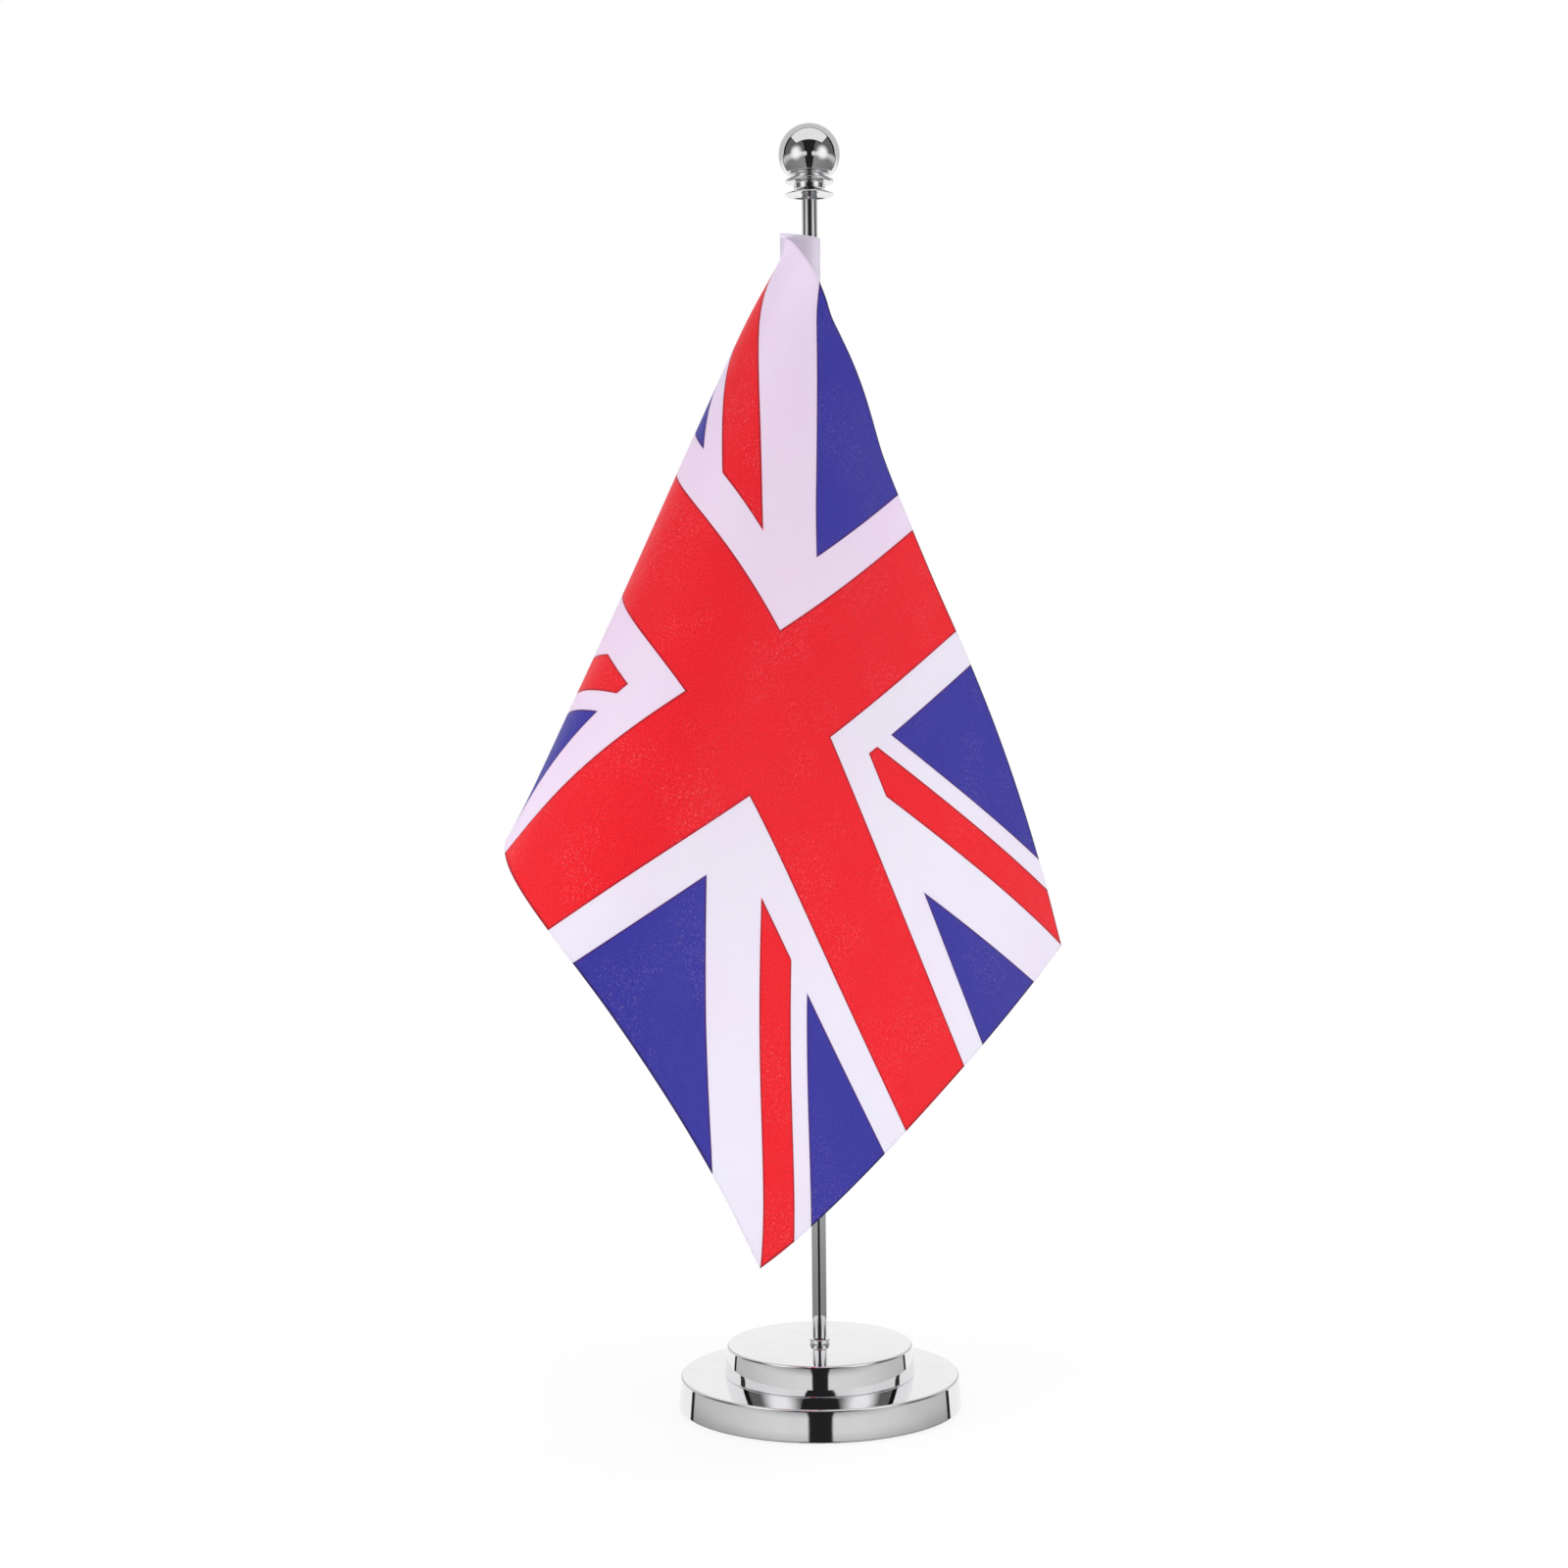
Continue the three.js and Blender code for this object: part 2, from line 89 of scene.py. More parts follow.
class Nodes:
    """Short ways to write a node tree as expressions."""

    def __init__(self, tree):
        self.tree = tree

    def put(self, socket, value):
        if isinstance(value, bpy.types.NodeSocket):
            self.tree.links.new(value, socket)
        else:
            socket.default_value = value

    def make(self, kind, **settings):
        node = self.tree.nodes.new(kind)
        for key, value in settings.items():
            setattr(node, key, value)
        return node

    def math(self, operation, first, second=0.0):
        node = self.make("ShaderNodeMath", operation=operation)
        self.put(node.inputs[0], first)
        self.put(node.inputs[1], second)
        return node.outputs[0]

    def add(self, a, b):
        return self.math("ADD", a, b)

    def subtract(self, a, b):
        return self.math("SUBTRACT", a, b)

    def times(self, a, b):
        return self.math("MULTIPLY", a, b)

    def greater(self, a, b):
        return self.math("MAXIMUM", a, b)

    def less(self, a, b):
        return self.math("MINIMUM", a, b)

    def ramp(self, value, start, end, low=0.0, high=1.0):
        """Smooth step of value from start to end, giving low to high."""
        node = self.make("ShaderNodeMapRange", interpolation_type="SMOOTHSTEP")
        for socket, number in zip(node.inputs, (value, start, end, low, high)):
            self.put(socket, number)
        return node.outputs["Result"]

    def mix(self, share, first, second):
        node = self.make("ShaderNodeMix", data_type="RGBA")
        self.put(node.inputs["Factor"], share)
        self.put(node.inputs[6], first)
        self.put(node.inputs[7], second)
        return node.outputs[2]

    def blend(self, share, first, second):
        """One shader that fades into another."""
        node = self.make("ShaderNodeMixShader")
        for socket, value in zip(node.inputs, (share, first, second)):
            self.put(socket, value)
        return node.outputs[0]

    def split(self, vector):
        node = self.make("ShaderNodeSeparateXYZ")
        self.put(node.inputs[0], vector)
        return node.outputs

    def join(self, x, y, z=0.0):
        node = self.make("ShaderNodeCombineXYZ")
        for socket, value in zip(node.inputs, (x, y, z)):
            self.put(socket, value)
        return node.outputs[0]

    def scaled(self, vector, scale):
        node = self.make("ShaderNodeVectorMath", operation="MULTIPLY")
        self.put(node.inputs[0], vector)
        self.put(node.inputs[1], scale)
        return node.outputs[0]

    def noise(self, vector, scale, detail=2.0, roughness=0.5):
        node = self.make("ShaderNodeTexNoise")
        self.put(node.inputs["Vector"], vector)
        self.put(node.inputs["Scale"], scale)
        self.put(node.inputs["Detail"], detail)
        self.put(node.inputs["Roughness"], roughness)
        return node.outputs["Fac"]

    def speckle(self, vector, scale):
        node = self.make("ShaderNodeTexVoronoi")
        self.put(node.inputs["Vector"], vector)
        self.put(node.inputs["Scale"], scale)
        return node.outputs["Distance"]

    def bump(self, height, strength, distance_mm, normal=None):
        node = self.make("ShaderNodeBump")
        self.put(node.inputs["Height"], height)
        self.put(node.inputs["Strength"], strength)
        self.put(node.inputs["Distance"], distance_mm * MM)
        if normal is not None:
            self.put(node.inputs["Normal"], normal)
        return node.outputs[0]

    def show(self, shader):
        """Sends a shader to the tree's output."""
        output = self.tree.nodes["Material Output"]
        self.put(output.inputs["Surface"], shader)


def new_material(name):
    """A material with a Principled shader; gives it, its helper and the shader node."""
    material = bpy.data.materials.new(name)
    material.use_nodes = True
    nodes = Nodes(material.node_tree)
    shader = material.node_tree.nodes["Principled BSDF"]
    return material, nodes, shader


def place_mm(nodes):
    """The point in the object's own space, in millimetres."""
    coordinates = nodes.make("ShaderNodeTexCoord")
    return nodes.scaled(coordinates.outputs["Object"], (1 / MM, 1 / MM, 1 / MM))


# ---------------------------------------------------------------- materials


CHROME_CLEAN = (0.83, 0.83, 0.84, 1)
CHROME_SMUDGED = (0.8, 0.8, 0.815, 1)
CHROME_MARKED = (0.68, 0.68, 0.69, 1)
ACROSS_THE_AXIS = (0.25, 2.6, 2.6)
ALONG_THE_AXIS = (2.2, 2.2, 0.12)


def make_chrome(name, brushed_along_z=False):
    """Chrome plate: a mirror with faint wipe marks, a few hair scratches and specks."""
    material, nodes, shader = new_material(name)
    place = place_mm(nodes)
    smudge = nodes.noise(place, 0.12, 4)
    stretch = ALONG_THE_AXIS if brushed_along_z else ACROSS_THE_AXIS
    hairs = nodes.noise(nodes.scaled(place, stretch), 1.6, 6, 0.75)
    scratches = nodes.ramp(hairs, 0.66, 0.72)
    specks = nodes.ramp(nodes.speckle(place, 0.55), 0.045, 0.02)
    marks = nodes.greater(nodes.times(scratches, 0.5), specks)
    tint = nodes.mix(nodes.ramp(smudge, 0.35, 0.7), CHROME_CLEAN, CHROME_SMUDGED)
    nodes.put(shader.inputs["Base Color"], nodes.mix(marks, tint, CHROME_MARKED))
    shader.inputs["Metallic"].default_value = 1
    wiped = nodes.ramp(smudge, 0.3, 0.75, 0.025, 0.075)
    nodes.put(shader.inputs["Roughness"], nodes.add(wiped, nodes.times(marks, 0.16)))
    waves = nodes.noise(place, 0.35, 1)
    engraved = nodes.bump(marks, 0.12, 0.01)
    nodes.put(shader.inputs["Normal"], nodes.bump(waves, 0.03, 0.15, engraved))
    return material


IRON_DARK = (0.06, 0.057, 0.054, 1)
IRON_PALE = (0.16, 0.15, 0.145, 1)
IRON_RUST = (0.17, 0.075, 0.035, 1)


def make_cast_iron():
    """Raw castings: grainy grey iron with patches of light rust."""
    material, nodes, shader = new_material("raw_cast_iron")
    place = place_mm(nodes)
    grain = nodes.noise(place, 1.4, 6, 0.7)
    rust = nodes.ramp(nodes.noise(place, 0.16, 4), 0.52, 0.7)
    bare = nodes.mix(grain, IRON_DARK, IRON_PALE)
    nodes.put(shader.inputs["Base Color"], nodes.mix(rust, bare, IRON_RUST))
    shader.inputs["Metallic"].default_value = 0.75
    nodes.put(shader.inputs["Roughness"], nodes.ramp(grain, 0.3, 0.7, 0.55, 0.85))
    nodes.put(shader.inputs["Normal"], nodes.bump(grain, 0.5, 0.12))
    return material


ZINC_BLUE = (0.55, 0.57, 0.6, 1)
ZINC_YELLOW = (0.64, 0.63, 0.57, 1)


def make_zinc():
    """Bright zinc plate, cloudy between bluish and yellowish."""
    material, nodes, shader = new_material("bright_zinc_plate")
    place = place_mm(nodes)
    cloudy = nodes.noise(place, 0.8, 4)
    grain = nodes.noise(place, 9, 3)
    nodes.put(shader.inputs["Base Color"], nodes.mix(cloudy, ZINC_BLUE, ZINC_YELLOW))
    shader.inputs["Metallic"].default_value = 1
    nodes.put(shader.inputs["Roughness"], nodes.ramp(cloudy, 0.3, 0.7, 0.22, 0.4))
    nodes.put(shader.inputs["Normal"], nodes.bump(grain, 0.2, 0.01))
    return material


PAD_BLACK = (0.012, 0.012, 0.013)
RING_BLACK = (0.02, 0.02, 0.022)
WORN_LIGHTER = 1.9


def make_rubber(name, colour, pitted):
    """Black rubber, worn lighter in clouds; foam is pitted, moulded rubber is nearly smooth."""
    material, nodes, shader = new_material(name)
    place = place_mm(nodes)
    cells = nodes.speckle(place, 1.6 if pitted else 4.0)
    cloud = nodes.noise(place, 0.3, 3)
    light = tuple(c * WORN_LIGHTER for c in colour) + (1,)
    nodes.put(shader.inputs["Base Color"], nodes.mix(cloud, colour + (1,), light))
    nodes.put(shader.inputs["Roughness"], nodes.ramp(cloud, 0.3, 0.7, 0.62, 0.85))
    depth = 0.12 if pitted else 0.02
    nodes.put(shader.inputs["Normal"], nodes.bump(cells, 0.6, depth))
    return material


def flat_mm(nodes):
    """Where a point of the cloth lies on the flat cut: along the fly, then up the hoist."""
    attribute = nodes.make("ShaderNodeAttribute", attribute_name="flat_mm")
    return attribute.outputs["Vector"]


def weave_height(nodes, along, up, thread_mm):
    """Plain weave: warp and weft threads pass over and under each other."""
    warp = nodes.math("SINE", nodes.times(up, TURN / thread_mm))
    weft = nodes.math("SINE", nodes.times(along, TURN / thread_mm))
    checker = nodes.math(
        "SINE",
        nodes.times(nodes.add(along, up), math.pi / thread_mm),
    )
    ribs = nodes.add(nodes.times(warp, 0.55), nodes.times(weft, 0.3))
    return nodes.add(ribs, nodes.times(checker, 0.25))


THREAD_MM = 0.28
FLAG_RED = (0.94, 0.014, 0.028, 1)
FADED_RED = (0.9, 0.02, 0.034, 1)
FLAG_BLUE = (0.054, 0.05, 0.42, 1)
FADED_BLUE = (0.06, 0.056, 0.46, 1)
FLAG_WHITE = (0.81, 0.79, 0.865, 1)
WHITE_PINK = (0.83, 0.72, 0.86, 1)
INK_LINE_COLOUR = (0.12, 0.0, 0.02, 1)
CUT_EDGE_COLOUR = (0.03, 0.01, 0.02, 1)
PAINTED_GLINT_COLOUR = (1.0, 0.7, 0.75, 1)
BLACK = (0.0, 0.0, 0.0, 1)
# Reach of a printed edge and of its ink line, in thirtieths of the flag's height.
PRINT_EDGE = 0.025
INK_LINE = 0.13
# The unprinted strip by the hoist, and the width over which the print fades in, in mm.
HEADING_MM = 3.5
HEADING_FADE_MM = 3
# Painted reflected light: the white is painted pinker near the hoist, as if lit by the red folds:
# fully within the first distance, not past the second.
RED_BOUNCE_WITHIN_MM = 75
RED_BOUNCE_GONE_MM = 125
SHINES_THROUGH = 0.45
# The print in the same thirtieths: half widths of the bands.
RED_CROSS_HALF = 3
WHITE_CROSS_HALF = 5
WHITE_SALTIRE_HALF = 3.08
WHITE_SALTIRE_SHIFT = 0.04
RED_SALTIRE_HALF = 1
RED_SALTIRE_SHIFT = 1


def union_print(nodes, along, up, width, height, edge):
    """Masks of the printed design, worked out in thirtieths of the flag's height."""
    unit = height / 30
    x = nodes.times(nodes.subtract(along, width / 2), 1 / unit)
    y = nodes.times(nodes.subtract(up, height / 2), 1 / unit)

    def band(value, half):
        distance = nodes.math("ABSOLUTE", value)
        return nodes.ramp(distance, half + edge, half - edge)

    slope = math.hypot(width, height)
    rise, run = height / slope, width / slope
    side = nodes.math("SIGN", x)
    falling = nodes.times(nodes.add(nodes.times(x, rise), nodes.times(y, run)), side)
    rising = nodes.times(nodes.subtract(nodes.times(y, run), nodes.times(x, rise)), side)
    red_saltire = nodes.greater(
        band(nodes.subtract(falling, RED_SALTIRE_SHIFT), RED_SALTIRE_HALF),
        band(nodes.subtract(rising, RED_SALTIRE_SHIFT), RED_SALTIRE_HALF),
    )
    white_saltire = nodes.greater(
        band(nodes.add(falling, WHITE_SALTIRE_SHIFT), WHITE_SALTIRE_HALF),
        band(nodes.add(rising, WHITE_SALTIRE_SHIFT), WHITE_SALTIRE_HALF),
    )
    white_cross = nodes.greater(band(x, WHITE_CROSS_HALF), band(y, WHITE_CROSS_HALF))
    red_cross = nodes.greater(band(x, RED_CROSS_HALF), band(y, RED_CROSS_HALF))
    saltire_dye = nodes.greater(red_saltire, nodes.subtract(1, white_saltire))
    dye = nodes.greater(red_cross, nodes.times(saltire_dye, nodes.subtract(1, white_cross)))
    dye = nodes.times(dye, nodes.ramp(along, HEADING_MM, HEADING_MM + HEADING_FADE_MM))
    return red_saltire, white_saltire, white_cross, red_cross, dye


def printed_colour(nodes, flat, along, up, width, height, white):
    """The dyed cloth with a thin dark line round the ink, and where the dye lies."""
    masks = union_print(nodes, along, up, width, height, PRINT_EDGE)
    red_saltire, white_saltire, white_cross, red_cross, dye = masks
    fade = nodes.noise(flat, 0.05, 2)
    red = nodes.mix(fade, FLAG_RED, FADED_RED)
    blue = nodes.mix(fade, FLAG_BLUE, FADED_BLUE)
    colour = nodes.mix(white_saltire, blue, white)
    colour = nodes.mix(red_saltire, colour, red)
    colour = nodes.mix(white_cross, colour, white)
    colour = nodes.mix(red_cross, colour, red)
    colour = nodes.mix(dye, white, colour)
    spread = union_print(nodes, along, up, width, height, INK_LINE)[4]
    ink_line = nodes.times(nodes.ramp(spread, 0.45, 0.7), nodes.ramp(spread, 1.0, 0.85))
    return nodes.mix(nodes.times(ink_line, 0.6), colour, INK_LINE_COLOUR), dye


def with_painted_thread_shade(nodes, along, up, colour, dye):
    """Painted shade between the threads, which shows most where the cloth is dyed."""
    grain = nodes.noise(nodes.join(nodes.times(along, 2.2), nodes.times(up, 4.5)), 1.0, 2)
    grain = nodes.times(nodes.ramp(grain, 0.35, 0.65, 0.26, 0.0), nodes.greater(dye, 0.12))
    # The painted shade darkens the colour toward black.
    return nodes.mix(grain, colour, BLACK)


def satin_glints(nodes, flat, along, up):
    """Short dashes along the fly, in patches, where long floats catch the light; the colour is
    painted brighter there as a painted highlight.
    """
    floats = nodes.noise(nodes.join(nodes.times(along, 1.1), nodes.times(up, 4.2)), 1.0, 0)
    patches = nodes.ramp(nodes.noise(flat, 0.06, 3), 0.46, 0.62, 0.2, 1.0)
    return nodes.times(nodes.ramp(floats, 0.64, 0.72), patches)


def cut_edge(nodes, along, up, width, height, printed, dye):
    """A dark line along the cut edges where the cloth is dyed: top, bottom and, on the flag, the
    fly.
    """
    edge = nodes.less(up, nodes.subtract(height, up))
    if printed:
        edge = nodes.less(edge, nodes.subtract(width, along))
    return nodes.times(nodes.ramp(edge, 0.6, 0.35, 0.0, 0.7), nodes.greater(dye, 0.15))


def satin_relief(nodes, flat, along, up):
    """Soft cockles over the cloth, thick threads along the fly, and the weave itself."""
    cockle = nodes.noise(flat, 0.09, 3)
    slubs = nodes.noise(nodes.join(nodes.times(along, 0.12), nodes.times(up, 1.8)), 1.0, 3)
    weave = weave_height(nodes, along, up, THREAD_MM)
    normal = nodes.bump(cockle, 0.35, 0.5)
    normal = nodes.bump(slubs, 0.3, 0.06, normal)
    return nodes.bump(weave, 0.35, 0.02, normal)


def make_satin(name, width, height, printed):
    """Polyester satin, plain white or printed, thin enough for light to pass through."""
    material, nodes, shader = new_material(name)
    flat = flat_mm(nodes)
    along, up, _ = nodes.split(flat)
    cloud = nodes.ramp(nodes.noise(flat, 0.035, 3), 0.35, 0.7, 0.0, 0.3)
    if printed:
        # Random pink clouds, plus painted red reflected light near the hoist.
        pink = nodes.add(cloud, nodes.ramp(along, RED_BOUNCE_GONE_MM, RED_BOUNCE_WITHIN_MM, 0.0, 0.7))
        white = nodes.mix(pink, FLAG_WHITE, WHITE_PINK)
        colour, dye = printed_colour(nodes, flat, along, up, width, height, white)
    else:
        colour, dye = nodes.mix(cloud, FLAG_WHITE, WHITE_PINK), 0.15
    colour = with_painted_thread_shade(nodes, along, up, colour, dye)
    glint = satin_glints(nodes, flat, along, up)
    cut = cut_edge(nodes, along, up, width, height, printed, dye)
    # Painted glints: the colour is lightened along the floats.
    bright = nodes.mix(nodes.times(glint, 0.15), colour, PAINTED_GLINT_COLOUR)
    nodes.put(shader.inputs["Base Color"], nodes.mix(cut, bright, CUT_EDGE_COLOUR))
    uneven = nodes.ramp(nodes.noise(flat, 0.4, 3), 0.3, 0.7, 0.44, 0.56)
    nodes.put(shader.inputs["Roughness"], nodes.subtract(uneven, nodes.times(glint, 0.15)))
    shader.inputs["Specular IOR Level"].default_value = 0.45
    shader.inputs["Sheen Weight"].default_value = 0.25
    shader.inputs["Sheen Roughness"].default_value = 0.4
    shader.inputs["Sheen Tint"].default_value = (1, 0.93, 1, 1)
    nodes.put(shader.inputs["Normal"], satin_relief(nodes, flat, along, up))
    through = nodes.make("ShaderNodeBsdfTranslucent")
    nodes.put(through.inputs["Color"], colour)
    nodes.show(nodes.blend(SHINES_THROUGH, shader.outputs[0], through.outputs[0]))
    return material


THREAD_SHADE = (0.72, 0.7, 0.76, 1)
THREAD_LIGHT = (0.9, 0.88, 0.93, 1)
THREAD_TWIST_MM = 0.3


def make_thread():
    """Sewing thread: fine slanting plies, with painted light on their crowns and painted shade
    between them.
    """
    material, nodes, shader = new_material("white_sewing_thread")
    x, _, z = nodes.split(place_mm(nodes))
    slant = nodes.add(nodes.times(z, 2), x)
    twist = nodes.math("SINE", nodes.times(slant, TURN / THREAD_TWIST_MM))
    # Painted light and shade across the plies.
    shade = nodes.mix(nodes.ramp(twist, -1, 1), THREAD_SHADE, THREAD_LIGHT)
    nodes.put(shader.inputs["Base Color"], shade)
    shader.inputs["Roughness"].default_value = 0.6
    nodes.put(shader.inputs["Normal"], nodes.bump(twist, 0.6, 0.04))
    return material


# ---------------------------------------------------------------- mesh helpers


def finish_piece(name, mesh, material, body, replaced, sharp_degrees):
    """Makes a mesh into a smooth-shaded piece that rides on a body and stands for a node."""
    mesh.validate()
    for polygon in mesh.polygons:
        polygon.use_smooth = True
    if sharp_degrees:
        mesh.set_sharp_from_angle(angle=math.radians(sharp_degrees))
    mesh.materials.append(material)
    piece = bpy.data.objects.new(name, mesh)
    bpy.context.scene.collection.objects.link(piece)
    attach(piece, body)
    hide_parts(replaced)
    return piece


def mesh_from(bm, name):
    mesh = bpy.data.meshes.new(name)
    bm.to_mesh(mesh)
    bm.free()
    return mesh


def around_axis(radius, angle, height):
    """A place given by its distance from the pole's axis, in millimetres, as a vertex's."""
    return (radius * MM * math.cos(angle), radius * MM * math.sin(angle), height * MM)


def add_ring(bm, radius, height, segments):
    angles = [TURN * step / segments for step in range(segments)]
    return [bm.verts.new(around_axis(radius, angle, height)) for angle in angles]


def close_tube(bm, rings):
    """Faces between neighbouring rings from the bottom up, and over both ends."""
    for low_ring, high_ring in zip(rings, rings[1:]):
        for step, corner in enumerate(low_ring):
            following = (step + 1) % len(low_ring)
            bm.faces.new([corner, low_ring[following], high_ring[following], high_ring[step]])
    bm.faces.new(list(reversed(rings[0])))
    bm.faces.new(rings[-1])


def flat_disc(name, radii, segments):
    """A flat round mesh that faces up, in rings from its middle outward."""
    bm = bmesh.new()
    rings = [add_ring(bm, radius, 0, segments) for radius in radii]
    bm.faces.new(rings[0])
    for inner, outer in zip(rings, rings[1:]):
        for step in range(segments):
            following = (step + 1) % segments
            bm.faces.new([inner[step], outer[step], outer[following], inner[following]])
    return mesh_from(bm, name)


def rounded(outline, radii, steps=5):
    """Rounds the corners of a closed outline; a radius of 0 leaves a corner sharp."""
    result = []
    count = len(outline)
    for index, corner in enumerate(outline):
        radius = radii.get(index, 0)
        corner = np.array(corner, float)
        if not radius:
            result.append(tuple(corner))
            continue
        before = np.array(outline[index - 1], float) - corner
        after = np.array(outline[(index + 1) % count], float) - corner
        start = corner + before / np.linalg.norm(before) * radius
        end = corner + after / np.linalg.norm(after) * radius
        for step in range(steps + 1):
            share = step / steps
            weights = (1 - share) ** 2, 2 * share * (1 - share), share**2
            point = weights[0] * start + weights[1] * corner + weights[2] * end
            result.append(tuple(point))
    return result


def revolve(name, outline, segments):
    """A closed mesh turned about Z from [radius, height] points, up the outside."""
    bm = bmesh.new()
    rings = []
    for radius, height in outline:
        if radius < 1e-6:
            rings.append([bm.verts.new((0, 0, height * MM))] * segments)
        else:
            rings.append(add_ring(bm, radius, height, segments))
    for index, low in enumerate(rings):
        high = rings[(index + 1) % len(rings)]
        for step in range(segments):
            following = (step + 1) % segments
            corners = [low[step], low[following], high[following], high[step]]
            distinct = list(dict.fromkeys(corners))
            if len(distinct) > 2:
                bm.faces.new(distinct)
    bmesh.ops.recalc_face_normals(bm, faces=bm.faces)
    return mesh_from(bm, name)


# ---------------------------------------------------------------- base, pole and finial

COVER_WALL = 0.8
COVER_HOLE_INSIDE_RIM = 0.3
RIM_ROUND = 0.55
FOOT_ROUND = 0.3
COVER_DRAFT = 0.08
BUSH_BORE = 1.5
BUSH_WALL = 0.5
BUSH_RIM_HEIGHT = 0.9
BUSH_RIM_ROUND = 0.4
POLE_WALL = 0.4
POLE_END_ROUND = 0.15
RUNNING_CLEARANCE = 0.3
# Points round a turned piece, by its size.
COARSE = 64
MIDDLING = 96
FINE = 160


def turned_size(node):
    """Widest radius, bottom and top of a CAD node that is turned about the pole's axis."""
    low, high = node_box(node)
    return high[0], low[2], high[2]


def add_cover(node, name, chrome, rests_at=None):
    """A pressed cup, open below, with a drafted wall and a small round rim."""
    foot_radius, bottom, top = turned_size(node)
    if rests_at is not None:
        bottom = rests_at
    top_radius = foot_radius - COVER_DRAFT * (top - bottom)
    hole = turned_size("threaded_bush")[0] - COVER_HOLE_INSIDE_RIM
    outline = [
        (foot_radius - COVER_WALL, bottom),
        (foot_radius, bottom),
        (top_radius, top),
        (hole, top),
        (hole, top - COVER_WALL),
        (top_radius - COVER_WALL, top - COVER_WALL),
    ]
    mesh = revolve(name, rounded(outline, {1: FOOT_ROUND, 2: RIM_ROUND}), FINE)
    finish_piece(name, mesh, chrome, "base", node, 50)


def add_bush(chrome):
    """The bush that clamps the base together; its rim shows at the pole's foot."""
    rim, bottom, top = turned_size("threaded_bush")
    shank = BUSH_BORE + BUSH_WALL
    shoulder = top - BUSH_RIM_HEIGHT
    outline = [
        (BUSH_BORE, bottom),
        (shank, bottom),
        (shank, shoulder),
        (rim, shoulder),
        (rim, top),
        (BUSH_BORE, top),
    ]
    name = "bush_and_foot_rim"
    mesh = revolve(name, rounded(outline, {4: BUSH_RIM_ROUND}), COARSE)
    finish_piece(name, mesh, chrome, "base", "threaded_bush", 50)


def add_pole(chrome):
    radius, bottom, top = turned_size("pole")
    bore = radius - POLE_WALL
    outline = [(bore, bottom), (radius, bottom), (radius, top), (bore, top)]
    rounds = {1: POLE_END_ROUND, 2: POLE_END_ROUND}
    mesh = revolve("pole_tube", rounded(outline, rounds), COARSE)
    finish_piece("pole_tube", mesh, chrome, "pole", "pole", 50)


THREAD_PITCH = 0.45
THREAD_DEPTH = 0.24
THREAD_RUN_OUT = 0.5
STEPS_PER_PITCH = 8
STUD_SEGMENTS = 28


def add_stud(node, zinc):
    """A stud with a helical thread that runs out at both ends."""
    radius, bottom, top = turned_size(node)
    steps = int((top - bottom) / THREAD_PITCH * STEPS_PER_PITCH)
    bm = bmesh.new()
    rings = []
    for step in range(steps + 1):
        height = bottom + (top - bottom) * step / steps
        from_end = min(1, (height - bottom) / THREAD_RUN_OUT, (top - height) / THREAD_RUN_OUT)
        ring = []
        for column in range(STUD_SEGMENTS):
            turn = (height / THREAD_PITCH - column / STUD_SEGMENTS) % 1
            groove = THREAD_DEPTH * (1 - abs(2 * turn - 1)) + (1 - from_end) * THREAD_DEPTH
            reach = radius - min(groove, THREAD_DEPTH)
            place = around_axis(reach, TURN * column / STUD_SEGMENTS, height)
            ring.append(bm.verts.new(place))
        rings.append(ring)
    close_tube(bm, rings)
    name = node + "_thread"
    finish_piece(name, mesh_from(bm, name), zinc, "pole", node, 40)


BELL_WALL = 0.5
LOWER_NECK_RADIUS = 3.8
LOWER_NECK_TOP = 1.5
WIDE_FLANGE_TOP = 2.4
UPPER_NECK_RADIUS = 4.15
UPPER_NECK_TOP = 3.3
NARROW_FLANGE_RADIUS = 5.05
FINIAL_BORE = 1.5
BALL_BORE_DEPTH = 8
BALL_STEPS = 60
BALL_SEGMENTS = 128


def add_bell(chrome):
    """A thin dished flange with a rolled lip, open below."""
    radius, bottom, top = turned_size("finial_bell")
    bore = turned_size("pole")[0] + RUNNING_CLEARANCE
    outline = [
        (bore, top - BELL_WALL),
        (LOWER_NECK_RADIUS, top - BELL_WALL),
        (radius - 0.9, bottom + 0.25),
        (radius - 0.35, bottom),
        (radius, bottom + 0.05),
        (radius - 0.1, bottom + 0.3),
        (radius - 1.1, bottom + 0.75),
        (LOWER_NECK_RADIUS, top),
        (bore, top),
    ]
    mesh = revolve("bell", rounded(outline, {2: 0.3, 4: 0.12, 6: 0.5, 7: 0.4}), MIDDLING)
    finish_piece("bell", mesh, chrome, "finial", "finial_bell", 40)


def add_collar(chrome):
    """The turned spool: neck, wide flange, neck, and the narrow flange under the ball."""
    wide, bottom, _ = turned_size("finial_collar")
    seat = turned_size("finial_ball")[1]
    outline = [
        (FINIAL_BORE, bottom),
        (LOWER_NECK_RADIUS, bottom),
        (LOWER_NECK_RADIUS, bottom + LOWER_NECK_TOP),
        (wide, bottom + LOWER_NECK_TOP),
        (wide, bottom + WIDE_FLANGE_TOP),
        (UPPER_NECK_RADIUS, bottom + WIDE_FLANGE_TOP),
        (UPPER_NECK_RADIUS, bottom + UPPER_NECK_TOP),
        (NARROW_FLANGE_RADIUS, bottom + UPPER_NECK_TOP),
        (NARROW_FLANGE_RADIUS, seat),
        (FINIAL_BORE, seat),
    ]
    rounds = {2: 0.3, 3: 0.45, 4: 0.45, 5: 0.3, 6: 0.3, 7: 0.28, 8: 0.28}
    mesh = revolve("collar", rounded(outline, rounds), MIDDLING)
    finish_piece("collar", mesh, chrome, "finial", "finial_collar", 60)


